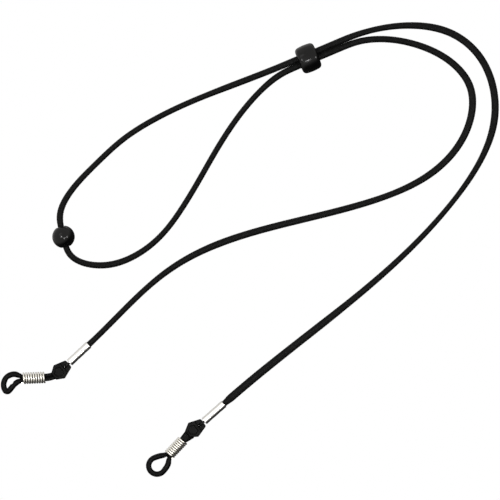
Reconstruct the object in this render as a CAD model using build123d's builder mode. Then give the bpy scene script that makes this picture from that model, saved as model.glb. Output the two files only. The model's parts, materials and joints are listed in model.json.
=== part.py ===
from build123d import *

import os
from math import cos, radians, sin, sqrt

# An eyeglass retainer strap, laid out on a table: a braided cord folded in half, a barrel slider that
# gathers both strands, a ball bead at the fold, and a rubber temple loop crimped on each end of the cord.
# Millimetres. The table top is z = 0, the origin is under the middle of the slider, and +X runs along
# the slider, away from the ball bead. Headings are degrees from +X, counter-clockwise seen from above.

# Cord: a braided sheath over a core.
cord_d = 2.1
core_d = 1.1
lying_z = cord_d / 2  # height of the cord's centre line where it lies on the table
point_spacing = 12.0  # between the points that its centre line is drawn through

# Slider: a barrel bead with two strands of cord side by side in its bore.
slider_length = 6.6
slider_d = 9.3
slider_end_d = 8.5
slider_bore_d = 4.4
slider_end_fillet = 1.3
slider_bore_fillet = 0.6
slider_z = slider_d / 2
strand_offset = 1.08  # from the slider's axis to each strand's centre line
straight_front = 14.0  # the strands stay straight between these two x, so that the slider can travel
straight_back = -7.4

# Stop bead: a ball at the fold of the cord.
ball_d = 7.5
ball_bore_d = 2.2
ball_bore_fillet = 0.35
ball_middle = Vector(-98.0, -22.8, ball_d / 2)
ball_heading = -98.0  # of the cord that runs through it, from the upper strand to the lower one
ball_straight = 4.4  # the cord is straight this far to each side of the ball's middle

# Crimped ends: everything past the cord lies on one axis, level with the coil's.
wire_d = 0.6
coil_middle_r = 1.65  # radius of the wire's centre line
coil_turns = 9
end_z = coil_middle_r + wire_d / 2

# Ferrule: a rolled tube, open along a seam underneath, that grips the cord and the link loop.
ferrule_length = 8.7
ferrule_d = 2.6
ferrule_bore_d = 2.1
ferrule_seam = 0.16
ferrule_mouth_chamfer = 0.08
cord_grip = 4.5  # depth of the cord inside the ferrule

# Link loop: a thin cord in an upright plane, both ends in the ferrule, threaded down through the
# hole in the rubber end.
link_d = 0.7
link_leg_offset = 0.68
link_rise = 1.0
link_straight = 0.1  # half the length of the straight stretch inside the hole
link_grip = 4.0  # depth of its two legs inside the ferrule
hole_reach = 1.9  # from the ferrule's end to the middle of the hole

# Rubber end: one moulding with a flat spade, two legs that pass through the coil, and the temple loop.
hole_d = 0.86
spade_back = 1.43  # from the hole to the spade's back edge
spade_half_height = 1.1
spade_wide_x = 2.7  # its widest place, measured from the hole
spade_wide_y = 2.85  # half its width there, before the corners are rounded
spade_front_x = 5.2
spade_front_y = 1.3
spade_back_y = 1.5
spade_back_fillet = 0.7
spade_side_fillet = 1.4
tail_half_height = 0.5  # the spade is thinner around the hole, under and over the link loop
tail_front = 0.7  # where it thickens, measured from the hole
tail_cut_length = 4.0
tail_cut_width = 6.0
tail_fillet = 0.26
spade_fillet = 0.45
dish_back_x = 1.5
dish_back_y = 1.1
dish_wide_x = 2.8
dish_wide_y = 1.7
dish_front_x = 4.3
dish_front_y = 0.7
dish_fillet = 0.4
dish_depth = 0.45
leg_d = 1.2
leg_offset = 0.65
leg_root = 3.4  # where the legs start, measured from the hole
leg_overlap = 0.4  # of the legs into the thick part of the loop
loop_d = 1.5
loop_gap = 0.15  # from the coil to the thick part of the loop
loop_start_offset = 0.8

# Temple seats: the round places inside the loops where an eyeglass temple bears, from the coil's front.
nose_middle = Vector(5.0, -0.35)  # of the open loop on the right end
nose_r = 2.75  # of the loop's centre line around it
right_seat_r = 2.1
left_seat_middle = Vector(3.73, 0.82)  # across the half-shut loop on the left end
left_seat_r = 1.2


def direction(heading):
    """The level unit vector that points along a heading."""
    return Vector(cos(radians(heading)), sin(radians(heading)), 0)


def ease(share):
    """Falls smoothly from 1 at share 0 to 0 at share 1 and beyond."""
    t = min(max(share, 0), 1)
    return 1 - t * t * (3 - 2 * t)


class StrapEnd:
    """The places and planes of one end of the strap, from the ferrule's mouth to the temple loop."""

    def __init__(self, mouth, heading, spade_heading, coil_start, coil_bend, coil_pitch):
        self.heading = heading
        self.mouth = Vector(*mouth, end_z)
        self.tip = self.mouth + direction(heading) * ferrule_length
        self.hole = self.tip + direction(heading) * hole_reach
        self.spade_plane = Plane(origin=self.hole, x_dir=direction(spade_heading), z_dir=(0, 0, 1))
        self.coil_start = coil_start
        self.coil_bend = coil_bend
        self.coil_pitch = coil_pitch
        self.coil_heading = spade_heading + coil_bend
        self.coil_length = coil_turns * coil_pitch + wire_d
        self.coil_back = self.spade_plane.from_local_coords(Vector(*coil_start, 0))
        coil_front = self.coil_back + direction(self.coil_heading) * self.coil_length
        self.loop_plane = Plane(origin=coil_front, x_dir=direction(self.coil_heading), z_dir=(0, 0, 1))


# Each end: the ferrule's mouth and heading, the spade's heading, then, from the hole, where the coil
# starts and how far it is turned, and the coil's pitch, because a coil stretches a little in use.
left_end = StrapEnd((-104.4, -59.1), 200.0, 198.0, (7.4, -1.6), -38.7, 0.82)
right_end = StrapEnd((-70.7, -94.8), 198.4, 193.0, (7.4, 0.75), 10.3, 0.74)


def strand_points(plan_points, start_heading, end_heading, start_z, start_rise, finish_z, finish_rise):
    """Points of one strand: a curve through a few plan points, raised off the table towards its two ends."""
    plan = Spline(
        *plan_points,
        tangents=[direction(start_heading), direction(end_heading)],
        tangent_scalars=[1, 1],
        mode=Mode.PRIVATE,
    )
    steps = round(plan.length / point_spacing)
    points = []
    for step in range(steps + 1):
        spot = plan @ (step / steps)
        from_start = plan.length * step / steps
        from_end = plan.length - from_start
        lift = (start_z - lying_z) * ease(from_start / start_rise)
        lift += (finish_z - lying_z) * ease(from_end / finish_rise)
        points.append(Vector(spot.X, spot.Y, lying_z + lift))
    return points


# The cord, from the left ferrule round to the right one.
slider_rise = 34.0
ball_rise = 22.0
end_rise = 14.0
ball_in = ball_middle - direction(ball_heading) * ball_straight
ball_out = ball_middle + direction(ball_heading) * ball_straight

inner_strand = strand_points(
    [(straight_front, -strand_offset), (46, -31), (36.5, -45), (-3, -51.5), (-69.5, -46.5), left_end.mouth],
    0, left_end.heading, slider_z, slider_rise, end_z, end_rise,
)
lower_strand = strand_points(
    [(straight_back, -strand_offset), (-19.5, -4), (-35, -12.5), (-69, -35.5), (-79.5, -38), ball_out],
    180, ball_heading + 180, slider_z, slider_rise, ball_middle.Z, ball_rise,
)
upper_strand = strand_points(
    [(straight_back, strand_offset), (-46.5, 2), (-73.5, -2.5), (-83, -6.5), ball_in],
    180, ball_heading, slider_z, slider_rise, ball_middle.Z, ball_rise,
)
outer_strand = strand_points(
    [(straight_front, strand_offset), (51, -16), (52, -37), (26, -62.5), (-39, -85.5), right_end.mouth],
    0, right_end.heading, slider_z, slider_rise, end_z, end_rise,
)

with BuildLine() as cord_line:
    Line(left_end.mouth + direction(left_end.heading) * cord_grip, left_end.mouth)
    Spline(
        *reversed(inner_strand),
        tangents=[-direction(left_end.heading), (-1, 0, 0)],
        tangent_scalars=[1, 1],
    )
    Line((straight_front, -strand_offset, slider_z), (straight_back, -strand_offset, slider_z))
    Spline(*lower_strand, tangents=[(-1, 0, 0), -direction(ball_heading)], tangent_scalars=[1, 1])
    Line(ball_out, ball_in)
    Spline(*reversed(upper_strand), tangents=[-direction(ball_heading), (1, 0, 0)], tangent_scalars=[1, 1])
    Line((straight_back, strand_offset, slider_z), (straight_front, strand_offset, slider_z))
    Spline(*outer_strand, tangents=[(1, 0, 0), direction(right_end.heading)], tangent_scalars=[1, 1])
    Line(right_end.mouth, right_end.mouth + direction(right_end.heading) * cord_grip)

cord_start = Plane(origin=cord_line.line @ 0, z_dir=cord_line.line % 0)
cord_finish = Plane(origin=cord_line.line @ 1, z_dir=cord_line.line % 1)

with BuildPart() as cord_core:
    with BuildSketch(cord_start):
        Circle(core_d / 2)
    sweep(path=cord_line.line)

with BuildPart() as cord_outside:
    with BuildSketch(cord_start):
        Circle(cord_d / 2)
    sweep(path=cord_line.line)

# The sheath's inside is the core's skin and its outside the cord's, closed by a ring at each end.
sheath_skin = cord_core.faces().filter_by(GeomType.PLANE, reverse=True)
sheath_skin += cord_outside.faces().filter_by(GeomType.PLANE, reverse=True)
for cut in (cord_start, cord_finish):
    with BuildSketch(cut) as ring:
        Circle(cord_d / 2)
        Circle(core_d / 2, mode=Mode.SUBTRACT)
    sheath_skin += ring.sketch.faces()

with BuildPart() as braided_sheath:
    add(Solid(Shell(sheath_skin)))

# The slider, turned about its own axis: slightly barrelled outside, with rounded rims.
with BuildPart() as slider_bead:
    with BuildSketch(Plane(origin=(0, 0, slider_z), x_dir=(1, 0, 0), z_dir=(0, -1, 0))) as slider_wall:
        half = slider_length / 2
        with BuildLine():
            ThreePointArc((-half, slider_end_d / 2), (0, slider_d / 2), (half, slider_end_d / 2))
            Polyline(
                (half, slider_end_d / 2),
                (half, slider_bore_d / 2),
                (-half, slider_bore_d / 2),
                (-half, slider_end_d / 2),
            )
        make_face()
        fillet(slider_wall.vertices().group_by(Axis.Y)[-1], slider_end_fillet)
        fillet(slider_wall.vertices().group_by(Axis.Y)[0], slider_bore_fillet)
    revolve(axis=Axis((0, 0, slider_z), (1, 0, 0)))

# The stop bead, turned about the cord that it is threaded on.
ball_axis = Axis(ball_middle, direction(ball_heading))
ball_section = Plane(origin=ball_middle, x_dir=ball_axis.direction, z_dir=direction(ball_heading - 90))
with BuildPart() as stop_bead:
    with BuildSketch(ball_section):
        bore_r = ball_bore_d / 2
        half = sqrt((ball_d / 2) ** 2 - bore_r**2)
        with BuildLine():
            ThreePointArc((-half, bore_r), (0, ball_d / 2), (half, bore_r))
            Line((half, bore_r), (-half, bore_r))
        ball_wall = make_face()
        fillet(ball_wall.vertices(), ball_bore_fillet)
    revolve(axis=ball_axis)


def make_ferrule(end):
    """A thin tube with its seam underneath and its two outer rims eased."""
    section = Plane(origin=end.mouth, x_dir=direction(end.heading + 90), z_dir=direction(end.heading))
    with BuildPart() as ferrule:
        with BuildSketch(section):
            Circle(ferrule_d / 2)
            Circle(ferrule_bore_d / 2, mode=Mode.SUBTRACT)
            with Locations((0, -ferrule_d / 2)):
                Rectangle(ferrule_seam, 2 * (ferrule_d - ferrule_bore_d), mode=Mode.SUBTRACT)
        extrude(amount=ferrule_length)
        rims = ferrule.edges().filter_by(GeomType.CIRCLE)
        chamfer(rims.filter_by(lambda rim: rim.radius > ferrule_bore_d / 2 + 0.01), ferrule_mouth_chamfer)
    return ferrule.part


def make_link_loop(end):
    """A hairpin: two legs in the ferrule, joined by a bend that passes down through the hole."""
    upright = Plane(origin=end.hole, x_dir=direction(end.heading), z_dir=direction(end.heading - 90))
    leg_start = -hole_reach - link_grip
    leg_end = -hole_reach - 0.1
    bend_top = -(spade_back + hole_d / 2) / 2
    with BuildLine() as hairpin:
        Line((leg_start, link_leg_offset), (leg_end, link_leg_offset))
        Spline(
            (leg_end, link_leg_offset),
            (bend_top, link_rise),
            (0, link_straight),
            tangents=[(1, 0), (0, -1)],
            tangent_scalars=[1, 1],
        )
        Line((0, link_straight), (0, -link_straight))
        Spline(
            (0, -link_straight),
            (bend_top, -link_rise),
            (leg_end, -link_leg_offset),
            tangents=[(0, -1), (-1, 0)],
            tangent_scalars=[1, 1],
        )
        Line((leg_end, -link_leg_offset), (leg_start, -link_leg_offset))
    path = upright * hairpin.line
    with BuildPart() as link:
        with BuildSketch(Plane(origin=path @ 0, z_dir=path % 0)):
            Circle(link_d / 2)
        sweep(path=path)
    return link.part


def make_coil(end):
    """A round-wire coil from the coil's back to its front."""
    first_turn = end.coil_back + direction(end.coil_heading) * wire_d / 2
    with BuildPart() as coil:
        with BuildLine() as wire:
            Helix(
                pitch=end.coil_pitch,
                height=coil_turns * end.coil_pitch,
                radius=coil_middle_r,
                center=first_turn,
                direction=direction(end.coil_heading),
            )
        with BuildSketch(Plane(origin=wire.line @ 0, z_dir=wire.line % 0)):
            Circle(wire_d / 2)
        sweep(path=wire.line, is_frenet=True)
    return coil.part


def right_loop_line():
    """The open loop: a round nose, and two sides that close in on the coil."""
    with BuildLine() as loop:
        Spline(
            (loop_gap, -loop_start_offset),
            (2.7, -2.35),
            (nose_middle.X, nose_middle.Y - nose_r),
            tangents=[(1, -0.6), (1, 0)],
            tangent_scalars=[1, 1],
        )
        CenterArc(nose_middle, nose_r, -90, 180)
        Spline(
            (nose_middle.X, nose_middle.Y + nose_r),
            (1.95, 1.85),
            (loop_gap, loop_start_offset),
            tangents=[(-1, 0), (-1, -0.5)],
            tangent_scalars=[1, 1],
        )
    return loop.line


def left_loop_line():
    """The same loop drawn half shut: a wide arc, a tight fold, and a straight side back to the coil."""
    arc_middle = Vector(2.5, 2.05)
    arc_r = 3.55
    arc_end = 28.0
    fold_r = 0.85
    fold_middle = arc_middle + direction(arc_end) * (arc_r - fold_r)
    fold_turn = 107.0
    fold_end = fold_middle + direction(arc_end + fold_turn) * fold_r
    with BuildLine() as loop:
        Spline(
            (loop_gap, -loop_start_offset),
            (arc_middle.X, arc_middle.Y - arc_r),
            tangents=[(1, -0.35), (1, 0)],
            tangent_scalars=[1, 1],
        )
        CenterArc(arc_middle, arc_r, -90, 90 + arc_end)
        CenterArc(fold_middle, fold_r, arc_end, fold_turn)
        Spline(
            fold_end,
            (1.7, 1.35),
            (loop_gap, loop_start_offset),
            tangents=[direction(arc_end + fold_turn + 90), (-1, -0.2)],
            tangent_scalars=[1, 1],
        )
    return loop.line


def make_rubber_end(end, loop_line, seat_middle, seat_r):
    """Spade, legs and loop as one solid, with a round seat for the temple cut inside the loop."""
    with BuildPart() as rubber:
        # The spade: a shield outline, eased all round.
        with BuildSketch(end.spade_plane) as outline:
            Polygon(
                (-spade_back, -spade_back_y),
                (spade_wide_x, -spade_wide_y),
                (spade_front_x, -spade_front_y),
                (spade_front_x, spade_front_y),
                (spade_wide_x, spade_wide_y),
                (-spade_back, spade_back_y),
                align=None,
            )
            back_to_front = outline.vertices().group_by(Axis.X)
            fillet(back_to_front[0], spade_back_fillet)
            fillet(back_to_front[1], spade_side_fillet)
        extrude(amount=spade_half_height, both=True)
        fillet(rubber.faces().filter_by(Axis.Z).edges(), spade_fillet)

        # Its tail is thinner, above and below, and holds the eased hole.
        for up in (1, -1):
            with BuildSketch(end.spade_plane.offset(up * tail_half_height)):
                with Locations((tail_front, 0)):
                    Rectangle(tail_cut_length, tail_cut_width, align=(Align.MAX, Align.CENTER))
            extrude(amount=up * spade_half_height, mode=Mode.SUBTRACT)
        with BuildSketch(end.spade_plane):
            Circle(hole_d / 2)
        extrude(amount=spade_half_height, both=True, mode=Mode.SUBTRACT)
        small_circles = rubber.edges().filter_by(GeomType.CIRCLE).group_by(SortBy.RADIUS)[0]
        fillet(small_circles, tail_fillet)

        # In front of the hole its two faces are dished.
        for up in (1, -1):
            with BuildSketch(end.spade_plane.offset(up * (spade_half_height - dish_depth))) as dish:
                Polygon(
                    (dish_back_x, -dish_back_y),
                    (dish_wide_x, -dish_wide_y),
                    (dish_front_x, -dish_front_y),
                    (dish_front_x, dish_front_y),
                    (dish_wide_x, dish_wide_y),
                    (dish_back_x, dish_back_y),
                    align=None,
                )
                fillet(dish.vertices(), dish_fillet)
            extrude(amount=up * dish_depth, mode=Mode.SUBTRACT)

        # The legs, side by side from inside the spade to the front of the coil.
        for side in (1, -1):
            bent = direction(end.coil_bend)
            sideways = direction(end.coil_bend + 90) * leg_offset * side
            coil_back = Vector(*end.coil_start) + sideways
            with BuildLine() as leg:
                Spline(
                    Vector(leg_root, side * leg_offset),
                    coil_back,
                    tangents=[(1, 0), bent],
                    tangent_scalars=[1, 1],
                )
                Line(coil_back, coil_back + bent * (end.coil_length + loop_gap + leg_overlap))
            path = end.spade_plane * leg.line
            with BuildSketch(Plane(origin=path @ 0, z_dir=path % 0)):
                Circle(leg_d / 2)
            sweep(path=path)

        # The loop, with its seat.
        path = end.loop_plane * loop_line
        with BuildSketch(Plane(origin=path @ 0, z_dir=path % 0)):
            Circle(loop_d / 2)
        sweep(path=path)
        with BuildSketch(end.loop_plane):
            with Locations(seat_middle):
                Circle(seat_r)
        extrude(amount=loop_d, both=True, mode=Mode.SUBTRACT)
    return rubber.part


pieces = {
    "braided_sheath": braided_sheath.part,
    "cord_core": cord_core.part,
    "slider_bead": slider_bead.part,
    "stop_bead": stop_bead.part,
    "ferrule_left": make_ferrule(left_end),
    "ferrule_right": make_ferrule(right_end),
    "link_loop_left": make_link_loop(left_end),
    "link_loop_right": make_link_loop(right_end),
    "rubber_end_left": make_rubber_end(left_end, left_loop_line(), left_seat_middle, left_seat_r),
    "rubber_end_right": make_rubber_end(right_end, right_loop_line(), nose_middle, right_seat_r),
    "coil_left": make_coil(left_end),
    "coil_right": make_coil(right_end),
}

os.makedirs("parts", exist_ok=True)
for name, piece in pieces.items():
    piece.label = name
    export_step(piece, f"parts/{name}.step")
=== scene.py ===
"""An eyeglass retainer strap: braided cord, barrel slider, ball bead, and two crimped rubber temple loops.

Lengths inside the script are millimetres, in the CAD part's frame. They become metres when a mesh is made.
"""

import json
import math

import bmesh
import bpy
import numpy as np
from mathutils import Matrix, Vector


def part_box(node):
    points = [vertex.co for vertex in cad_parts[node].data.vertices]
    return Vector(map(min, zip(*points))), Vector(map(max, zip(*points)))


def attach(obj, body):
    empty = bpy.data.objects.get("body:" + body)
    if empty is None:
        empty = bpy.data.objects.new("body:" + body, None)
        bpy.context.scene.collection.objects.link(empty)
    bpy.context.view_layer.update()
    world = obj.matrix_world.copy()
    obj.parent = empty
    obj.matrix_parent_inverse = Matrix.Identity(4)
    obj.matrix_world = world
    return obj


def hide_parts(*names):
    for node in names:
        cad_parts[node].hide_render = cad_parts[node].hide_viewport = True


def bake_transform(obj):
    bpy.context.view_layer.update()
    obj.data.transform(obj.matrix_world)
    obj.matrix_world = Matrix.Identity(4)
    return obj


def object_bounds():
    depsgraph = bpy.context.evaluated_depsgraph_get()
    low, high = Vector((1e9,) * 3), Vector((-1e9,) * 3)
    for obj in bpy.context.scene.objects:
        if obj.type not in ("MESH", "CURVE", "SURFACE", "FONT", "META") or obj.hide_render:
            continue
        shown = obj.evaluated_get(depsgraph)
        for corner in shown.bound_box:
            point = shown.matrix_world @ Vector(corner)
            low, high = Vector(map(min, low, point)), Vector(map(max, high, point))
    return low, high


MM = 0.001
UP = np.array([0.0, 0.0, 1.0])

# Tracing the centre line of a round tube from its skin.
TRACE_FITS = 3  # fits at each step
TRACE_FEWEST = 5  # with fewer skin points than this nearby, the tube has ended
TRACE_STEADINESS = 0.6  # share of the old heading that is kept at each step

# Cord: sixteen yarns braided two over, two under, eight each way round.
CORD_CORE_R = 0.55
CORD_R = 1.05
YARNS = 8
YARN_PITCH = 0.95
BRAID_REPEAT = 4  # crossings before the pattern repeats
BRAID_OVER = 1.5  # below this count within a repeat, the first set of yarns is on top
FIBRES_PER_YARN = 5
BRAID_RELIEF = 0.05
CORD_RING_POINTS = 32
CORD_RING_SPACING = 0.2
# The cord is a little flat and turns as it runs: its width seen from above, by length from the left ferrule.
# A program followed the cord in the reference picture and worked these widths out. They were then averaged,
# thinned and rounded.
CORD_WIDTHS = [
    (0, 2.0), (27, 2.0), (55, 2.4), (100, 2.27), (115, 2.15), (130, 2.37), (165, 2.5), (183, 2.3),
    (193, 2.2), (236, 2.2), (245, 2.0), (300, 1.98), (322, 2.25), (334, 2.1), (347, 2.25), (370, 1.98),
    (415, 2.0), (424, 2.2), (466, 2.2), (474, 2.0), (481, 2.1), (497, 2.5), (537, 2.5), (551, 2.05),
    (567, 1.82), (582, 1.93), (600, 2.1), (616, 2.3), (627, 2.55), (655, 2.7),
]
ROUND_REACH = 3.0  # beyond the ball or a ferrule the cord takes this long to leave its round shape
CORD_SMOOTHING = 6
CORD_SKIN_SPACING = 0.5
CORD_TRACE_STEP = 1.0
CORD_TRACE_REACH = 2.1 * CORD_CORE_R

# Link cord: two plies twisted together.
LINK_R = 0.35
LINK_SWELL = 0.07  # the soft plies fill the hole they pass through
LINK_TWIST = 1.6  # length of one full twist
LINK_PLY_DEPTH = 0.16  # of the groove between the plies, as a share of the radius
LINK_SMOOTHING = 3
LINK_RING_POINTS = 24
LINK_RING_SPACING = 0.06
LINK_SKIN_SPACING = 0.15
LINK_TRACE_STEP = 0.2
LINK_TRACE_REACH = 1.9 * LINK_R
LINK_START_LENGTH = 0.6  # of the leg that the tracing starts from
LINK_PLY_ROUNDNESS = 0.6

# Beads.
SLIDER_END_R = 4.25
SLIDER_BORE_R = 2.2
SLIDER_RIM = 1.3
SLIDER_BORE_RIM = 0.6
SLIDER_CROWN = 89.7  # the angle its outer arc starts at, just beside its mirror line
BALL_BORE_R = 1.1
BALL_RIM = 0.35
BALL_CROWN = 89
BORE_START = 0.1  # the bore's points start this far from the mirror line
BEAD_SEGMENTS = 128

# Ferrules and coils.
FERRULE_BORE_R = 1.05
FERRULE_SEAM = 0.16
FERRULE_LIP = 0.1
FERRULE_SEGMENTS = 96
FERRULE_STATIONS = 60
FERRULE_MOUTH_STEP = 0.03  # the bore's edge is eased by this much
CRIMP_DEPTH = 0.05
CRIMP_WIDTH = 0.9
CRIMP_PLACES = (0.3, 0.68)  # as shares of the ferrule's length
WIRE_R = 0.3
WIRE_RING_POINTS = 20
COIL_TURNS = 9
COIL_TURN_POINTS = 64

# Rubber ends.
RUBBER_VOXEL = 0.08
RUBBER_SMOOTHING = 12
NECK_HALF_WIDTHS = {"right": (1.9, 1.3)}  # where the legs leave this spade they are one flat neck
NECK_HALF_HEIGHT = 0.6
NECK_START = 4.3  # from the spade's hole
LOOP_GROWTH = 0.2  # the soft loop bulges this much past its straight-sided CAD form
LOOP_GROWTH_START = 0.2
LOOP_GROWTH_LENGTH = 1.4
FLASH_HEIGHT = 0.03
FLASH_HALF_WIDTH = 0.1

# Camera: straight down with a long lens, turned about its own axis. LOOK_AT is the middle of the picture.
LOOK_AT = (-42.67, -51.05)
CAMERA_TURN = -23.0
CAMERA_HEIGHT = 1200.0
FRAME_WIDTH = 166.67
SENSOR = 36.0

# Surround: warm, and brighter on one side.
WARM_WHITE = (1.0, 0.985, 0.96, 1)
BRIGHT_SIDE = (-0.29, 0.77, 0.57)  # where the surround is brightest; it is dark on the other side
SURROUND_STRENGTH = (0.02, 1.1)
TABLE_STRENGTH = (0.04, 0.9)
TABLE_HALF_WIDTH = 2000.0
TABLE_DROP = 0.02  # keeps the table's face from meeting the lowest surfaces

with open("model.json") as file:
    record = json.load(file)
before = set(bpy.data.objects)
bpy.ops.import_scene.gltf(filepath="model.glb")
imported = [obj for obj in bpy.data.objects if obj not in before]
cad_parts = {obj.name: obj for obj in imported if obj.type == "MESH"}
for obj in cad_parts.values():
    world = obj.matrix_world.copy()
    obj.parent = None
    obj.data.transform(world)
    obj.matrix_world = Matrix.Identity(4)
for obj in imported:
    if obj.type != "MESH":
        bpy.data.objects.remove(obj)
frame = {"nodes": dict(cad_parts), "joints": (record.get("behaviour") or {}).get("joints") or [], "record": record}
cad_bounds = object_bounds()
joints = {joint["name"]: joint for joint in frame["joints"]}
bodies = frame["record"]["behaviour"]["bodies"]
body_of_node = {node: body for body, members in bodies.items() for node in members}


# ---------------------------------------------------------------- measuring the CAD nodes


def unit(vector):
    """A vector's direction, at length one."""
    return vector / np.linalg.norm(vector)


def corners(node):
    """A CAD node's vertices."""
    return np.array([v.co for v in frame["nodes"][node].data.vertices], float) / MM


def skin_points(node, spacing):
    """Points all over a node's skin: its vertices, and places along its long edges."""
    spots = corners(node)
    ends = np.array([edge.vertices for edge in frame["nodes"][node].data.edges])
    start, finish = spots[ends[:, 0]], spots[ends[:, 1]]
    length = np.linalg.norm(finish - start, axis=1)
    points = [spots]
    for long_edge in np.nonzero(length > spacing)[0]:
        shares = np.arange(spacing, length[long_edge], spacing) / length[long_edge]
        points.append(start[long_edge] + shares[:, None] * (finish - start)[long_edge])
    return np.concatenate(points)


def follow_tube(points, start, heading, radius, reach, step):
    """The centre line of a round tube, walked from one place until its skin ends."""
    here, line = np.array(start, float), []
    while True:
        near = points[np.linalg.norm(points - here, axis=1) < reach]
        near = near[np.abs((near - here) @ heading) < step]
        if len(near) < TRACE_FEWEST:
            return np.array(line)
        for _ in range(TRACE_FITS):
            flat = near - here
            flat -= np.outer(flat @ heading, heading)
            distance = np.linalg.norm(flat, axis=1)
            outward = flat / distance[:, None]
            here = here + np.linalg.lstsq(outward, distance - radius, rcond=None)[0]
        if line:
            turned = (1 - TRACE_STEADINESS) * unit(here - line[-1])
            heading = unit(TRACE_STEADINESS * heading + turned)
        line.append(here)
        here = here + heading * step


def smoothed(line, rounds):
    """A line with its small wobbles averaged out and its two ends kept."""
    for _ in range(rounds):
        line[1:-1] = (line[:-2] + 2 * line[1:-1] + line[2:]) / 4
    return line


def even_steps(line, spacing):
    """The same line with evenly spaced points, and each point's length from the start."""
    along = np.concatenate([[0], np.cumsum(np.linalg.norm(np.diff(line, axis=0), axis=1))])
    places = np.linspace(0, along[-1], round(along[-1] / spacing) + 1)
    return np.stack([np.interp(places, along, line[:, k]) for k in range(3)], axis=1), places


def axis_box(node, heading):
    """A node's box turned to a level heading: its back-end middle, and its length."""
    side = np.cross(UP, heading)
    spots = corners(node)
    turned = np.stack([spots @ heading, spots @ side, spots @ UP], axis=1)
    low, high = turned.min(axis=0), turned.max(axis=0)
    middle = (low + high) / 2
    back = low[0] * heading + middle[1] * side + middle[2] * UP
    return back, high[0] - low[0]


def inside_node(line, node):
    """Which points of a line are inside a node's box."""
    low, high = (np.array(corner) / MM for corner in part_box(node))
    return np.all((line > low) & (line < high), axis=1)


def distance_to(marked, spacing):
    """Each point's length along the line to the nearest marked point."""
    marks = marked.nonzero()[0]
    places = np.arange(len(marked))
    after = np.searchsorted(marks, places).clip(0, len(marks) - 1)
    before = (after - 1).clip(0)
    return np.minimum(abs(marks[after] - places), abs(places - marks[before])) * spacing


# ---------------------------------------------------------------- making meshes


def grid_piece(name, rows, along, closed_round, closed_along):
    """A mesh from rows of points. u goes round each row and v is the length along, in millimetres."""
    count, points = rows.shape[:2]
    row = np.arange(count if closed_along else count - 1)
    place = np.arange(points if closed_round else points - 1)
    row, place = [part.ravel() for part in np.meshgrid(row, place, indexing="ij")]
    next_row, next_place = (row + 1) % count, (place + 1) % points
    quads = np.stack([
        row * points + place,
        row * points + next_place,
        next_row * points + next_place,
        next_row * points + place,
    ], axis=1)
    faces = quads.tolist()
    caps = []
    if closed_round and not closed_along:
        caps = [list(range(points))[::-1], list(range((count - 1) * points, count * points))]
    if closed_along and not closed_round:
        caps = [list(range(0, count * points, points)), list(range(points - 1, count * points, points))[::-1]]
    mesh = bpy.data.meshes.new(name)
    mesh.from_pydata((rows.reshape(-1, 3) * MM).tolist(), [], faces + caps)
    length = np.append(along, along[-1] + (along[-1] - along[-2]))
    u = np.stack([place, place + 1, place + 1, place], axis=1) / points
    v = np.stack([length[row], length[row], length[row + 1], length[row + 1]], axis=1)
    uv = np.stack([u.ravel(), v.ravel()], axis=1)
    cap_uv = np.zeros((sum(len(cap) for cap in caps), 2))
    mesh.uv_layers.new(name="length").data.foreach_set("uv", np.concatenate([uv, cap_uv]).ravel())
    mesh.polygons.foreach_set("use_smooth", np.ones(len(mesh.polygons), bool))
    for cap in range(len(caps)):
        mesh.polygons[len(faces) + cap].use_smooth = False
    piece = bpy.data.objects.new(name, mesh)
    bpy.context.scene.collection.objects.link(piece)
    return piece


def rings(line, sides, widths, heights, relief):
    """Oval rings round a line. relief moves each point of each ring in or out."""
    tangents = np.gradient(line, axis=0)
    tangents /= np.linalg.norm(tangents, axis=1)[:, None]
    ups = np.cross(tangents, sides)
    turn = np.arange(relief.shape[1]) / relief.shape[1] * 2 * math.pi
    across = (widths[:, None] + relief) * np.cos(turn)
    upward = (heights[:, None] + relief) * np.sin(turn)
    return line[:, None] + across[..., None] * sides[:, None] + upward[..., None] * ups[:, None]


def arc(middle, radius, start, finish, steps):
    """Points of an arc, by angle in degrees."""
    angles = np.radians(np.linspace(start, finish, steps + 1))
    return np.stack([middle[0] + radius * np.cos(angles), middle[1] + radius * np.sin(angles)], axis=1)


def mirrored(half_profile):
    """A profile of (along, radius) points with its mirror image in front of it, as one closed loop."""
    return np.concatenate([half_profile[::-1] * (-1, 1), half_profile])


def turned_piece(name, profile, middle, heading, angles, closed_round):
    """A profile turned about a level axis through a point."""
    side = np.cross(UP, heading)
    round_axis = np.cos(angles)[:, None] * side + np.sin(angles)[:, None] * UP
    rows = middle + profile[:, None, :1] * heading + profile[:, None, 1:] * round_axis
    along = np.concatenate([[0], np.cumsum(np.linalg.norm(np.diff(profile, axis=0), axis=1))])
    return grid_piece(name, rows, along, closed_round, True)


def finish_piece(piece, node, material):
    """Gives a piece its material and slot, and puts it in place of a CAD node."""
    piece.data.materials.clear()
    piece.data.materials.append(material)
    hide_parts(node)


# ---------------------------------------------------------------- materials


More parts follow.
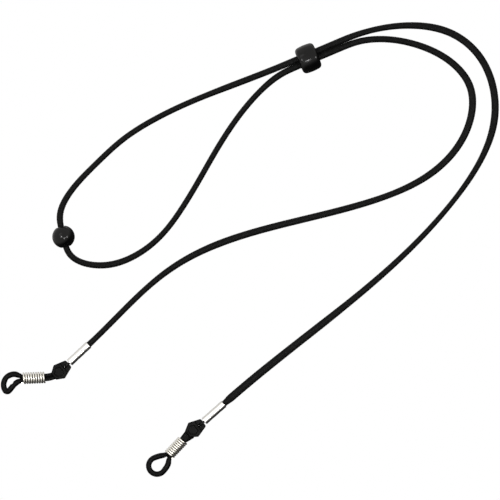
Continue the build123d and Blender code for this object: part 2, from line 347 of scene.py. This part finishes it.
class Look:
    """A material with one Principled shader, and short ways to add nodes to it."""

    def __init__(self, name, color, roughness, metallic=0.0):
        self.material = bpy.data.materials.new(name)
        self.material.use_nodes = True
        self.tree = self.material.node_tree
        self.shader = self.tree.nodes["Principled BSDF"]
        self.shader.inputs["Base Color"].default_value = (*color, 1)
        self.shader.inputs["Roughness"].default_value = roughness
        self.shader.inputs["Metallic"].default_value = metallic

    def join(self, source, target):
        """Links an output to an input."""
        self.tree.links.new(source, target)

    def maths(self, operation, *values):
        """A Math node. Each value is a number or another node's output."""
        node = self.tree.nodes.new("ShaderNodeMath")
        node.operation = operation
        for slot, value in enumerate(values):
            if isinstance(value, (int, float)):
                node.inputs[slot].default_value = value
            else:
                self.join(value, node.inputs[slot])
        return node.outputs[0]

    def noise(self, scale, detail, stretch=(1, 1, 1), uv=False):
        """A noise texture over the object in space, or over its uv map."""
        coordinates = self.tree.nodes.new("ShaderNodeTexCoord")
        mapping = self.tree.nodes.new("ShaderNodeMapping")
        mapping.inputs["Scale"].default_value = stretch
        texture = self.tree.nodes.new("ShaderNodeTexNoise")
        texture.inputs["Scale"].default_value = scale
        texture.inputs["Detail"].default_value = detail
        self.join(coordinates.outputs["UV" if uv else "Object"], mapping.inputs["Vector"])
        self.join(mapping.outputs["Vector"], texture.inputs["Vector"])
        return texture.outputs["Fac"]

    def vary(self, channel, source, low, high):
        """Drives a shader input between two numbers."""
        span = self.tree.nodes.new("ShaderNodeMapRange")
        span.inputs["From Min"].default_value = 0.3
        span.inputs["From Max"].default_value = 0.7
        span.inputs["To Min"].default_value = low
        span.inputs["To Max"].default_value = high
        self.join(source, span.inputs["Value"])
        self.join(span.outputs["Result"], self.shader.inputs[channel])

    def tint(self, source, dark, light):
        """Drives the base colour between two colours."""
        ramp = self.tree.nodes.new("ShaderNodeValToRGB")
        ramp.color_ramp.elements[0].position = 0.3
        ramp.color_ramp.elements[0].color = (*dark, 1)
        ramp.color_ramp.elements[1].position = 0.7
        ramp.color_ramp.elements[1].color = (*light, 1)
        self.join(source, ramp.inputs["Fac"])
        self.join(ramp.outputs["Color"], self.shader.inputs["Base Color"])

    def bump(self, height, distance, strength=1.0):
        """Adds a bump, its distance in millimetres, on top of any bump that is there."""
        node = self.tree.nodes.new("ShaderNodeBump")
        node.inputs["Distance"].default_value = distance * MM
        node.inputs["Strength"].default_value = strength
        self.join(height, node.inputs["Height"])
        before = self.shader.inputs["Normal"]
        if before.is_linked:
            self.join(before.links[0].from_socket, node.inputs["Normal"])
        self.join(node.outputs["Normal"], before)


def braid_look():
    """Black polyester yarns: fine fibres along each yarn, a soft sheen, and uneven dye."""
    look = Look("braided_polyester", (0.006, 0.006, 0.0065), 0.42)
    uv = look.tree.nodes.new("ShaderNodeTexCoord")
    parts = look.tree.nodes.new("ShaderNodeSeparateXYZ")
    look.join(uv.outputs["UV"], parts.inputs["Vector"])
    turns = look.maths("MULTIPLY", parts.outputs["X"], YARNS)
    length = look.maths("DIVIDE", parts.outputs["Y"], YARN_PITCH)
    yarn = [look.maths("ADD", turns, length), look.maths("SUBTRACT", turns, length)]
    number = [look.maths("ROUND", value) for value in yarn]
    crossing = look.maths("FLOORED_MODULO", look.maths("ADD", *number), BRAID_REPEAT)
    first_on_top = look.maths("LESS_THAN", crossing, BRAID_OVER)
    second_on_top = look.maths("SUBTRACT", 1, first_on_top)
    crowns, fibres = [], []
    for value, on_top in zip(yarn, [first_on_top, second_on_top]):
        from_middle = look.maths("SUBTRACT", value, look.maths("ROUND", value))
        crown = look.maths("COSINE", look.maths("MULTIPLY", from_middle, math.pi))
        fibre = look.maths("SINE", look.maths("MULTIPLY", value, 2 * math.pi * FIBRES_PER_YARN))
        crowns.append(look.maths("MULTIPLY", crown, on_top))
        fibres.append(look.maths("MULTIPLY", fibre, on_top))
    look.bump(look.maths("ADD", *crowns), 0.03)
    look.bump(look.maths("ADD", *fibres), 0.006)
    look.bump(look.noise(60, 3, (8, 1, 1), uv=True), 0.015)
    look.tint(look.noise(900, 2), (0.0008, 0.0008, 0.0008), (0.003, 0.003, 0.003))
    look.vary("Roughness", look.noise(2500, 2), 0.36, 0.5)
    look.shader.inputs["Specular IOR Level"].default_value = 0.06
    look.shader.inputs["Sheen Weight"].default_value = 0.02
    look.shader.inputs["Sheen Roughness"].default_value = 0.5
    return look.material


def core_look():
    """Matt grey filling yarns, hidden inside the braid."""
    look = Look("core_fibres", (0.02, 0.02, 0.021), 0.7)
    look.bump(look.noise(900, 3), 0.03)
    look.tint(look.noise(1500, 3), (0.012, 0.012, 0.012), (0.03, 0.03, 0.03))
    return look.material


def link_look():
    """Thin waxed cord, two plies of fine fibres."""
    look = Look("waxed_thread", (0.006, 0.006, 0.006), 0.45)
    look.bump(look.noise(40, 3, (1, 12, 1), uv=True), 0.02)
    look.tint(look.noise(1500, 2), (0.002, 0.002, 0.002), (0.005, 0.005, 0.005))
    look.vary("Roughness", look.noise(3000, 2), 0.38, 0.55)
    look.shader.inputs["Specular IOR Level"].default_value = 0.12
    return look.material


def plastic_look():
    """Glossy black moulded plastic with faint flow lines, orange peel and handling scuffs."""
    look = Look("moulded_plastic", (0.0035, 0.0035, 0.004), 0.09)
    look.bump(look.noise(450, 2), 0.006)
    look.bump(look.noise(3500, 2, (1, 6, 1)), 0.0006)
    look.tint(look.noise(250, 3), (0.001, 0.001, 0.001), (0.0025, 0.0025, 0.0025))
    look.vary("Roughness", look.noise(700, 5), 0.12, 0.22)
    look.shader.inputs["Specular IOR Level"].default_value = 0.2
    return look.material


def rubber_look():
    """Satin black silicone with a fine moulded grain and a slightly uneven shine."""
    look = Look("satin_silicone", (0.008, 0.008, 0.0085), 0.4)
    look.bump(look.noise(2200, 4), 0.006)
    look.bump(look.noise(420, 2), 0.02)
    look.tint(look.noise(600, 4), (0.0008, 0.0008, 0.0008), (0.003, 0.003, 0.003))
    look.vary("Roughness", look.noise(900, 4), 0.3, 0.46)
    look.shader.inputs["Specular IOR Level"].default_value = 0.05
    return look.material


def nickel_look(name, color, grain, polish):
    """Bright nickel plate with rubbed spots and drawing marks along the uv length."""
    look = Look(name, color, 0.18, metallic=1.0)
    look.bump(look.noise(*grain, uv=True), 0.0012)
    look.bump(look.noise(1200, 3), 0.0012)
    darker = tuple(0.9 * part for part in color)
    look.tint(look.noise(500, 4), darker, color)
    look.vary("Roughness", look.noise(1100, 4), polish, polish + 0.08)
    return look.material


# ---------------------------------------------------------------- the pieces


def build_cord(material):
    """The braided sheath, run over the core's centre line from the left ferrule to the right one."""
    skin = skin_points("cord_core", CORD_SKIN_SPACING)
    low, high = (np.array(corner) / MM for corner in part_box("ferrule_left"))
    gripped = skin[np.all((skin > low) & (skin < high), axis=1)]
    inside = gripped.mean(axis=0)
    leaving = unit(gripped[gripped[:, 0].argmax()] - gripped[gripped[:, 0].argmin()])
    forward = follow_tube(skin, inside, leaving, CORD_CORE_R, CORD_TRACE_REACH, CORD_TRACE_STEP)
    backward = follow_tube(skin, inside, -leaving, CORD_CORE_R, CORD_TRACE_REACH, CORD_TRACE_STEP)
    line = smoothed(np.concatenate([backward[:0:-1], forward]), CORD_SMOOTHING)
    line, places = even_steps(line, CORD_RING_SPACING)

    mouth = places[inside_node(line, "ferrule_left").nonzero()[0].max()]
    known = np.array(CORD_WIDTHS)
    widths = np.interp(places - mouth, known[:, 0], known[:, 1]) / 2
    hidden = np.zeros(len(line), bool)
    for node in ("ferrule_left", "ferrule_right", "stop_bead"):
        hidden |= inside_node(line, node)
    gap = distance_to(hidden, CORD_RING_SPACING)
    free = np.clip(gap / ROUND_REACH, 0, 1)
    free = free * free * (3 - 2 * free)
    widths = CORD_R + (widths - CORD_R) * free
    heights = CORD_R**2 / widths
    line[:, 2] += np.maximum(heights - CORD_R, 0) * free

    tangents = np.gradient(line, axis=0)
    sides = np.cross(UP, tangents)
    sides /= np.linalg.norm(sides, axis=1)[:, None]
    turn = np.arange(CORD_RING_POINTS) / CORD_RING_POINTS
    yarn_a = YARNS * turn + places[:, None] / YARN_PITCH
    yarn_b = YARNS * turn - places[:, None] / YARN_PITCH
    first_on_top = (np.round(yarn_a) + np.round(yarn_b)) % BRAID_REPEAT < BRAID_OVER
    crown_a = np.cos((yarn_a - np.round(yarn_a)) * math.pi)
    crown_b = np.cos((yarn_b - np.round(yarn_b)) * math.pi)
    relief = (np.where(first_on_top, crown_a, crown_b) - 1) * BRAID_RELIEF
    rows = rings(line, sides, widths, heights, relief)
    cord = grid_piece("cord_braid", rows, places, True, False)
    finish_piece(cord, "braided_sheath", material)
    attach(cord, body_of_node["braided_sheath"])


def build_link(node, heading, material):
    """The twisted link cord, on the centre line of its CAD node."""
    skin = skin_points(node, LINK_SKIN_SPACING)
    side = np.cross(UP, heading)
    upper = skin[skin[:, 2] > skin[:, 2].mean()]
    start_at = (upper @ heading).min()
    first = upper[upper @ heading < start_at + LINK_START_LENGTH]
    start = first.mean(axis=0)
    line = follow_tube(skin, start, heading, LINK_R, LINK_TRACE_REACH, LINK_TRACE_STEP)
    line = smoothed(line, LINK_SMOOTHING)
    line, places = even_steps(line, LINK_RING_SPACING)
    turn = np.arange(LINK_RING_POINTS) / LINK_RING_POINTS * 2 * math.pi
    phase = turn + places[:, None] / LINK_TWIST * 2 * math.pi
    relief = -LINK_PLY_DEPTH * LINK_R * (1 - np.abs(np.cos(phase)) ** LINK_PLY_ROUNDNESS)
    sides = np.repeat(side[None], len(line), axis=0)
    size = np.full(len(line), LINK_R + LINK_SWELL)
    rows = rings(line, sides, size, size, relief)
    link = grid_piece(node.replace("link_loop", "link_cord"), rows, places, True, False)
    finish_piece(link, node, material)
    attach(link, body_of_node[node])


def build_slider(material):
    """The barrel bead, turned about the X axis."""
    low, high = (np.array(corner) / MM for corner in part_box("slider_bead"))
    half = (high - low)[0] / 2
    radius = (high - low)[2] / 2
    barrel_r = (half**2 + (radius - SLIDER_END_R) ** 2) / (2 * (radius - SLIDER_END_R))
    barrel_middle = radius - barrel_r
    rim_x = half - SLIDER_RIM
    rim_y = barrel_middle + math.sqrt((barrel_r - SLIDER_RIM) ** 2 - rim_x**2)
    tangent = math.degrees(math.atan2(rim_y - barrel_middle, rim_x))
    profile = np.concatenate([
        arc((0, barrel_middle), barrel_r, SLIDER_CROWN, tangent, 12),
        arc((rim_x, rim_y), SLIDER_RIM, tangent, 0, 20)[1:],
        arc((half - SLIDER_BORE_RIM, SLIDER_BORE_R + SLIDER_BORE_RIM), SLIDER_BORE_RIM, 0, -90, 12),
    ])
    bore = np.linspace(half - SLIDER_BORE_RIM, BORE_START, 8)[1:]
    profile = np.concatenate([profile, np.stack([bore, np.full(len(bore), SLIDER_BORE_R)], axis=1)])
    angles = np.linspace(0, 2 * math.pi, BEAD_SEGMENTS, endpoint=False)
    middle = (low + high) / 2
    slider = turned_piece("slider_barrel", mirrored(profile), middle, np.array([1.0, 0, 0]), angles, True)
    finish_piece(slider, "slider_bead", material)
    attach(slider, body_of_node["slider_bead"])


def build_ball(material):
    """The ball bead, turned about the cord that runs through it."""
    joint = joints["stop_bead_spin"]
    heading = unit(np.array(joint["axis"]))
    low, high = (np.array(corner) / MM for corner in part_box("stop_bead"))
    radius = (high - low)[2] / 2
    rim_y = BALL_BORE_R + BALL_RIM
    rim_x = math.sqrt((radius - BALL_RIM) ** 2 - rim_y**2)
    tangent = math.degrees(math.atan2(rim_y, rim_x))
    bore = np.linspace(rim_x, BORE_START, 12)[1:]
    profile = np.concatenate([
        arc((0, 0), radius, BALL_CROWN, tangent, 40),
        arc((rim_x, rim_y), BALL_RIM, tangent, -90, 14)[1:],
        np.stack([bore, np.full(len(bore), BALL_BORE_R)], axis=1),
    ])
    angles = np.linspace(0, 2 * math.pi, BEAD_SEGMENTS, endpoint=False)
    middle = np.array(joint["pos_m"]) / MM
    ball = turned_piece("stop_ball", mirrored(profile), middle, heading, angles, True)
    finish_piece(ball, "stop_bead", material)
    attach(ball, body_of_node["stop_bead"])


def build_ferrule(node, heading, material):
    """A rolled tube with its seam underneath, lips at its rims, and two shallow crimps."""
    back, length = axis_box(node, heading)
    low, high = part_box(node)
    radius = (high.z - low.z) / MM / 2
    stations = np.linspace(FERRULE_LIP, length - FERRULE_LIP, FERRULE_STATIONS)
    crimps = np.zeros(len(stations))
    for share in CRIMP_PLACES:
        crimps += np.exp(-(((stations - share * length) / (CRIMP_WIDTH / 2)) ** 2))
    lip = arc((length - FERRULE_LIP, radius - FERRULE_LIP), FERRULE_LIP, 90, 0, 5)
    back_lip = arc((FERRULE_LIP, radius - FERRULE_LIP), FERRULE_LIP, 180, 90, 5)
    outer = np.stack([stations, radius - CRIMP_DEPTH * crimps], axis=1)
    inner = np.stack([stations[::-1], np.full(len(stations), FERRULE_BORE_R)], axis=1)
    mouth_r = FERRULE_BORE_R + FERRULE_MOUTH_STEP
    front_mouth, back_mouth = [[length, mouth_r]], [[0.0, mouth_r]]
    profile = np.concatenate([back_lip, outer[1:-1], lip, front_mouth, inner, back_mouth])
    half_seam = FERRULE_SEAM / 2 / radius
    angles = np.linspace(-math.pi / 2 + half_seam, 1.5 * math.pi - half_seam, FERRULE_SEGMENTS)
    ferrule = turned_piece(node.replace("ferrule", "crimp_tube"), profile, back, heading, angles, False)
    finish_piece(ferrule, node, material)
    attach(ferrule, body_of_node[node])


def build_coil(node, heading, material):
    """Round wire wound about the two rubber legs."""
    back, length = axis_box(node, heading)
    low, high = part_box(node)
    middle_r = (high.z - low.z) / MM / 2 - WIRE_R
    side = np.cross(UP, heading)
    share = np.linspace(0, 1, COIL_TURNS * COIL_TURN_POINTS + 1)
    angle = share * COIL_TURNS * 2 * math.pi
    forward = WIRE_R + share * (length - 2 * WIRE_R)
    outward = np.cos(angle)[:, None] * side + np.sin(angle)[:, None] * UP
    line = back + forward[:, None] * heading + middle_r * outward
    size = np.full(len(line), WIRE_R)
    places = share * COIL_TURNS * 2 * math.pi * middle_r
    rows = rings(line, outward, size, size, np.zeros((len(line), WIRE_RING_POINTS)))
    coil = grid_piece(node.replace("coil", "wire_coil"), rows[:, ::-1], places, True, False)
    finish_piece(coil, node, material)
    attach(coil, body_of_node[node])


def build_rubber(side_name, material):
    """The moulded end in two pieces that meet inside the coil: the spade with its legs, and the loop."""
    node = f"rubber_end_{side_name}"
    heading = unit(np.array(joints[f"{side_name}_coil_slide"]["axis"]))
    coil_back, coil_length = axis_box(f"coil_{side_name}", heading)
    coil_front = coil_back + heading * coil_length
    hole = np.array(joints[f"{side_name}_end_swing"]["pos_m"]) / MM

    source = frame["nodes"][node].data.copy()
    if side_name in NECK_HALF_WIDTHS:
        neck_start = hole + unit(coil_back - hole) * NECK_START
        add_neck(source, neck_start, coil_back, NECK_HALF_WIDTHS[side_name])
    for part, keep_front in (("spade", False), ("loop", True)):
        piece = bpy.data.objects.new(f"rubber_{part}_{side_name}", source.copy())
        bpy.context.scene.collection.objects.link(piece)
        remesh = piece.modifiers.new("even_skin", "REMESH")
        remesh.mode = "VOXEL"
        remesh.voxel_size = RUBBER_VOXEL * MM
        soften = piece.modifiers.new("soft_edges", "SMOOTH")
        soften.factor = 0.5
        soften.iterations = RUBBER_SMOOTHING
        depsgraph = bpy.context.evaluated_depsgraph_get()
        mesh = bpy.data.meshes.new_from_object(piece.evaluated_get(depsgraph))
        piece.modifiers.clear()
        piece.data = mesh
        grow_loop(mesh, coil_front, heading)
        add_flash(mesh, hole[2])
        work = bmesh.new()
        work.from_mesh(mesh)
        middle = (coil_back + coil_front) / 2 * MM
        bmesh.ops.bisect_plane(
            work,
            geom=work.verts[:] + work.edges[:] + work.faces[:],
            plane_co=middle.tolist(),
            plane_no=heading.tolist(),
            clear_inner=keep_front,
            clear_outer=not keep_front,
        )
        bmesh.ops.holes_fill(work, edges=[edge for edge in work.edges if edge.is_boundary])
        work.to_mesh(mesh)
        work.free()
        mesh.polygons.foreach_set("use_smooth", np.ones(len(mesh.polygons), bool))
        finish_piece(piece, node, material)
        if keep_front:
            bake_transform(piece)
        else:
            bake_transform(piece)


def add_neck(mesh, start, finish, half_widths):
    """Adds a tapered oval bar between two places."""
    share = np.linspace(0, 1, 12)
    line = start + share[:, None] * (finish - start)
    side = np.repeat(unit(np.cross(UP, finish - start))[None], len(share), axis=0)
    widths = half_widths[0] + (half_widths[1] - half_widths[0]) * share
    rows = rings(line, side, widths, np.full(len(share), NECK_HALF_HEIGHT), np.zeros((len(share), 32)))
    bar = grid_piece("neck_bar", rows, share, True, False)
    work = bmesh.new()
    work.from_mesh(mesh)
    work.from_mesh(bar.data)
    work.to_mesh(mesh)
    work.free()
    bpy.data.objects.remove(bar)


def spots_and_normals(mesh):
    """A mesh's vertices, and which way each one faces."""
    spots = np.zeros(len(mesh.vertices) * 3)
    mesh.vertices.foreach_get("co", spots)
    normals = np.zeros(len(mesh.vertices) * 3)
    mesh.vertices.foreach_get("normal", normals)
    return spots.reshape(-1, 3) / MM, normals.reshape(-1, 3)


def grow_loop(mesh, coil_front, heading):
    """Fills the loop's strand out, more the farther it is in front of the coil."""
    spots, normals = spots_and_normals(mesh)
    share = np.clip(((spots - coil_front) @ heading - LOOP_GROWTH_START) / LOOP_GROWTH_LENGTH, 0, 1)
    spots += (share * share * (3 - 2 * share) * LOOP_GROWTH)[:, None] * normals
    mesh.vertices.foreach_set("co", (spots * MM).ravel())


def add_flash(mesh, level):
    """Raises a thin line of flash round the moulding, where the two halves of its mould met."""
    spots, normals = spots_and_normals(mesh)
    near = np.clip(1 - np.abs(spots[:, 2] - level) / FLASH_HALF_WIDTH, 0, 1)
    level_facing = 1 - np.abs(normals[:, 2])
    spots += (near * level_facing * FLASH_HEIGHT)[:, None] * normals
    mesh.vertices.foreach_set("co", (spots * MM).ravel())


# ---------------------------------------------------------------- stage, lights and camera


def fade(tree, direction_socket, sign, strengths, target):
    """Drives a strength from dark to bright as a direction turns towards the bright side."""
    towards = tree.nodes.new("ShaderNodeVectorMath")
    towards.operation = "DOT_PRODUCT"
    towards.inputs[1].default_value = [sign * part for part in BRIGHT_SIDE]
    span = tree.nodes.new("ShaderNodeMapRange")
    span.interpolation_type = "SMOOTHSTEP"
    span.inputs["From Min"].default_value = -0.5
    span.inputs["From Max"].default_value = 0.15
    span.inputs["To Min"].default_value = strengths[0]
    span.inputs["To Max"].default_value = strengths[1]
    tree.links.new(direction_socket, towards.inputs[0])
    tree.links.new(towards.outputs["Value"], span.inputs["Value"])
    tree.links.new(span.outputs["Result"], target)


def build_stage():
    """A plain white table. The camera sees it as even white; the strap sees it dim towards one side."""
    low, high = (np.array(corner) for corner in cad_bounds)
    middle = (low + high) / 2
    half = TABLE_HALF_WIDTH * MM
    mesh = bpy.data.meshes.new("table")
    square = [(-half, -half), (half, -half), (half, half), (-half, half)]
    level = -TABLE_DROP * MM
    mesh.from_pydata([(middle[0] + x, middle[1] + y, level) for x, y in square], [], [(0, 1, 2, 3)])
    table = bpy.data.objects.new("table", mesh)
    bpy.context.scene.collection.objects.link(table)
    material = bpy.data.materials.new("white_table")
    material.use_nodes = True
    tree = material.node_tree
    tree.nodes.clear()
    output = tree.nodes.new("ShaderNodeOutputMaterial")
    mix = tree.nodes.new("ShaderNodeMixShader")
    path = tree.nodes.new("ShaderNodeLightPath")
    white = tree.nodes.new("ShaderNodeEmission")
    white.inputs["Strength"].default_value = 1.0
    paper = tree.nodes.new("ShaderNodeEmission")
    paper.inputs["Color"].default_value = WARM_WHITE
    view = tree.nodes.new("ShaderNodeNewGeometry")
    fade(tree, view.outputs["Incoming"], -1, TABLE_STRENGTH, paper.inputs["Strength"])
    tree.links.new(path.outputs["Is Camera Ray"], mix.inputs["Fac"])
    tree.links.new(paper.outputs["Emission"], mix.inputs[1])
    tree.links.new(white.outputs["Emission"], mix.inputs[2])
    tree.links.new(mix.outputs["Shader"], output.inputs["Surface"])
    mesh.materials.append(material)


def add_softbox(name, side, up, height, size, power):
    """A rectangular light above the table, placed from the middle of the picture along its two edges."""
    turn = math.radians(CAMERA_TURN)
    right = np.array([math.cos(turn), math.sin(turn), 0])
    top = np.array([-math.sin(turn), math.cos(turn), 0])
    spot = np.array([*LOOK_AT, 0]) + side * right + up * top + height * UP
    light = bpy.data.lights.new(name, "AREA")
    light.shape = "RECTANGLE"
    light.size = size[0] * MM
    light.size_y = size[1] * MM
    light.energy = power
    lamp = bpy.data.objects.new(name, light)
    lamp.location = spot * MM
    aim = np.array([*LOOK_AT, 0]) - spot
    lamp.rotation_euler = Vector(aim).to_track_quat("-Z", "Y").to_euler()
    bpy.context.scene.collection.objects.link(lamp)


def build_lights():
    """Three small softboxes about the lens, a wide one at the upper left, and a one-sided surround."""
    add_softbox("box_left", -255, 5, 620, (110, 110), 1.2)
    add_softbox("box_right", 450, -10, 620, (110, 110), 1.3)
    add_softbox("box_middle", 80, -135, 620, (110, 70), 1.0)
    add_softbox("box_wide", -500, 420, 700, (500, 260), 0.45)
    world = bpy.data.worlds.new("surround")
    world.use_nodes = True
    tree = world.node_tree
    background = tree.nodes["Background"]
    background.inputs["Color"].default_value = WARM_WHITE
    directions = tree.nodes.new("ShaderNodeTexCoord")
    fade(tree, directions.outputs["Generated"], 1, SURROUND_STRENGTH, background.inputs["Strength"])
    bpy.context.scene.world = world


def build_camera():
    """A long lens straight above the strap, turned about its own axis."""
    data = bpy.data.cameras.new("camera")
    data.sensor_width = SENSOR
    data.lens = SENSOR * CAMERA_HEIGHT / FRAME_WIDTH
    data.clip_end = 10
    camera = bpy.data.objects.new("camera", data)
    camera.location = (LOOK_AT[0] * MM, LOOK_AT[1] * MM, CAMERA_HEIGHT * MM)
    camera.rotation_euler = (0, 0, math.radians(CAMERA_TURN))
    bpy.context.scene.collection.objects.link(camera)
    bpy.context.scene.camera = camera


# ---------------------------------------------------------------- everything together

plastic = plastic_look()
rubber = rubber_look()
tube_nickel = nickel_look("nickel_tube", (0.74, 0.73, 0.71), (30, 2, (1, 0.05, 1)), 0.14)
wire_nickel = nickel_look("nickel_wire", (0.8, 0.78, 0.72), (20, 2, (1, 0.2, 1)), 0.24)
thread = link_look()

build_cord(braid_look())
build_slider(plastic)
build_ball(plastic)
for side_name in ("left", "right"):
    low, high = (np.array(corner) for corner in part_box(f"ferrule_{side_name}"))
    hole = np.array(joints[f"{side_name}_end_swing"]["pos_m"])
    crimp_heading = hole - (low + high) / 2
    crimp_heading[2] = 0
    crimp_heading = unit(crimp_heading)
    coil_heading = unit(np.array(joints[f"{side_name}_coil_slide"]["axis"]))
    build_ferrule(f"ferrule_{side_name}", crimp_heading, tube_nickel)
    build_link(f"link_loop_{side_name}", crimp_heading, thread)
    build_coil(f"coil_{side_name}", coil_heading, wire_nickel)
    build_rubber(side_name, rubber)

core = frame["nodes"]["cord_core"]
core.data.materials.clear()
core.data.materials.append(core_look())

build_stage()
build_lights()
build_camera()
bpy.context.scene.view_settings.view_transform = "Standard"
